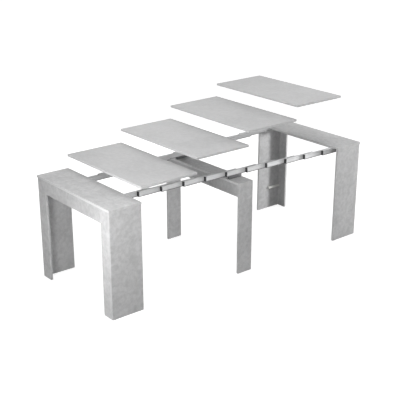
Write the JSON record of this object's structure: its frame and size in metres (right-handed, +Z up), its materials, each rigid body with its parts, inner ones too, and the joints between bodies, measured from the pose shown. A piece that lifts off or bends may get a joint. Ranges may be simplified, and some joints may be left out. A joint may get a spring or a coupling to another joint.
{
  "type": "extending console table",
  "caption": "Console table that pulls out on telescopic rails into a dining table, with a nesting middle frame and loose lift-off leaves.",
  "frame": {"origin": "on the floor, under the middle of the middle frame", "axes": "+X along the extension towards the right end frame, -Y the front side, +Z up"},
  "size_m": [2.37, 0.9, 1.192],
  "materials": {
    "concrete_laminate": "matte cement-grey melamine on particle board",
    "rail_aluminium": "satin extruded",
    "black_nylon": "moulded matte",
    "zinc_steel": "zinc plated",
    "grey_plastic": "moulded matte"
  },
  "bodies": {
    "centre_frame": {"centre_apron": "concrete_laminate", "centre_bearer_screws": "zinc_steel", "centre_bearers": "zinc_steel", "centre_glides": "grey_plastic", "centre_leg_back": "concrete_laminate", "centre_leg_front": "concrete_laminate", "centre_top": "concrete_laminate", "rail_06_back": "rail_aluminium", "rail_06_front": "rail_aluminium", "rail_06_stops": "black_nylon"},
    "left_frame": {"left_apron": "concrete_laminate", "left_glides": "grey_plastic", "left_panel_back": "concrete_laminate", "left_panel_front": "concrete_laminate", "left_rail_screws": "zinc_steel", "left_stile_back": "concrete_laminate", "left_stile_front": "concrete_laminate", "left_top": "concrete_laminate", "rail_01_back": "rail_aluminium", "rail_01_front": "rail_aluminium"},
    "right_frame": {"rail_11_back": "rail_aluminium", "rail_11_front": "rail_aluminium", "rail_11_stops": "black_nylon", "right_apron": "concrete_laminate", "right_cleats": "concrete_laminate", "right_glides": "grey_plastic", "right_panel_back": "concrete_laminate", "right_panel_front": "concrete_laminate", "right_rail_screws": "zinc_steel", "right_stile_back": "concrete_laminate", "right_stile_front": "concrete_laminate", "right_top": "concrete_laminate"},
    "rails_02": {"rail_02_back": "rail_aluminium", "rail_02_front": "rail_aluminium", "rail_02_stops": "black_nylon"},
    "rails_03": {"rail_03_back": "rail_aluminium", "rail_03_front": "rail_aluminium", "rail_03_stops": "black_nylon"},
    "rails_04": {"rail_04_back": "rail_aluminium", "rail_04_front": "rail_aluminium", "rail_04_stops": "black_nylon"},
    "rails_05": {"rail_05_back": "rail_aluminium", "rail_05_front": "rail_aluminium", "rail_05_stops": "black_nylon"},
    "rails_07": {"rail_07_back": "rail_aluminium", "rail_07_front": "rail_aluminium", "rail_07_stops": "black_nylon"},
    "rails_08": {"rail_08_back": "rail_aluminium", "rail_08_front": "rail_aluminium", "rail_08_stops": "black_nylon"},
    "rails_09": {"rail_09_back": "rail_aluminium", "rail_09_front": "rail_aluminium", "rail_09_stops": "black_nylon"},
    "rails_10": {"rail_10_back": "rail_aluminium", "rail_10_front": "rail_aluminium", "rail_10_stops": "black_nylon"},
    "leaf_1": {"leaf_1": "concrete_laminate"},
    "leaf_2": {"leaf_2": "concrete_laminate"},
    "leaf_3": {"leaf_3": "concrete_laminate"},
    "leaf_4": {"leaf_4": "concrete_laminate"}
  },
  "joints": [
    {"name": "rails_05_slide", "type": "slide", "parent": "centre_frame", "child": "rails_05", "axis": [-1, 0, 0], "range_m": [-0.1859, 0]},
    {"name": "rails_04_slide", "type": "slide", "parent": "rails_05", "child": "rails_04", "axis": [-1, 0, 0], "range_m": [-0.1859, 0]},
    {"name": "rails_03_slide", "type": "slide", "parent": "rails_04", "child": "rails_03", "axis": [-1, 0, 0], "range_m": [-0.1859, 0]},
    {"name": "rails_02_slide", "type": "slide", "parent": "rails_03", "child": "rails_02", "axis": [-1, 0, 0], "range_m": [-0.1859, 0]},
    {"name": "left_frame_slide", "type": "slide", "parent": "rails_02", "child": "left_frame", "axis": [-1, 0, 0], "range_m": [-0.1859, 0]},
    {"name": "rails_07_slide", "type": "slide", "parent": "centre_frame", "child": "rails_07", "axis": [1, 0, 0], "range_m": [-0.1859, 0]},
    {"name": "rails_08_slide", "type": "slide", "parent": "rails_07", "child": "rails_08", "axis": [1, 0, 0], "range_m": [-0.1859, 0]},
    {"name": "rails_09_slide", "type": "slide", "parent": "rails_08", "child": "rails_09", "axis": [1, 0, 0], "range_m": [-0.1859, 0]},
    {"name": "rails_10_slide", "type": "slide", "parent": "rails_09", "child": "rails_10", "axis": [1, 0, 0], "range_m": [-0.1859, 0]},
    {"name": "right_frame_slide", "type": "slide", "parent": "rails_10", "child": "right_frame", "axis": [1, 0, 0], "range_m": [-0.1859, 0]},
    {"name": "leaf_1_drop", "type": "slide", "parent": "centre_frame", "child": "leaf_1", "axis": [0, 0, -1], "range_m": [0, 0.103]},
    {"name": "leaf_2_drop", "type": "slide", "parent": "centre_frame", "child": "leaf_2", "axis": [0, 0, -1], "range_m": [0, 0.206]},
    {"name": "leaf_3_drop", "type": "slide", "parent": "centre_frame", "child": "leaf_3", "axis": [0, 0, -1], "range_m": [0, 0.309]},
    {"name": "leaf_4_drop", "type": "slide", "parent": "centre_frame", "child": "leaf_4", "axis": [0, 0, -1], "range_m": [0, 0.412]}
  ],
  "couplings": [
    {"joint": "rails_05_slide", "follows": "left_frame_slide", "ratio": 1},
    {"joint": "rails_04_slide", "follows": "left_frame_slide", "ratio": 1},
    {"joint": "rails_03_slide", "follows": "left_frame_slide", "ratio": 1},
    {"joint": "rails_02_slide", "follows": "left_frame_slide", "ratio": 1},
    {"joint": "rails_07_slide", "follows": "right_frame_slide", "ratio": 1},
    {"joint": "rails_08_slide", "follows": "right_frame_slide", "ratio": 1},
    {"joint": "rails_09_slide", "follows": "right_frame_slide", "ratio": 1},
    {"joint": "rails_10_slide", "follows": "right_frame_slide", "ratio": 1}
  ]
}
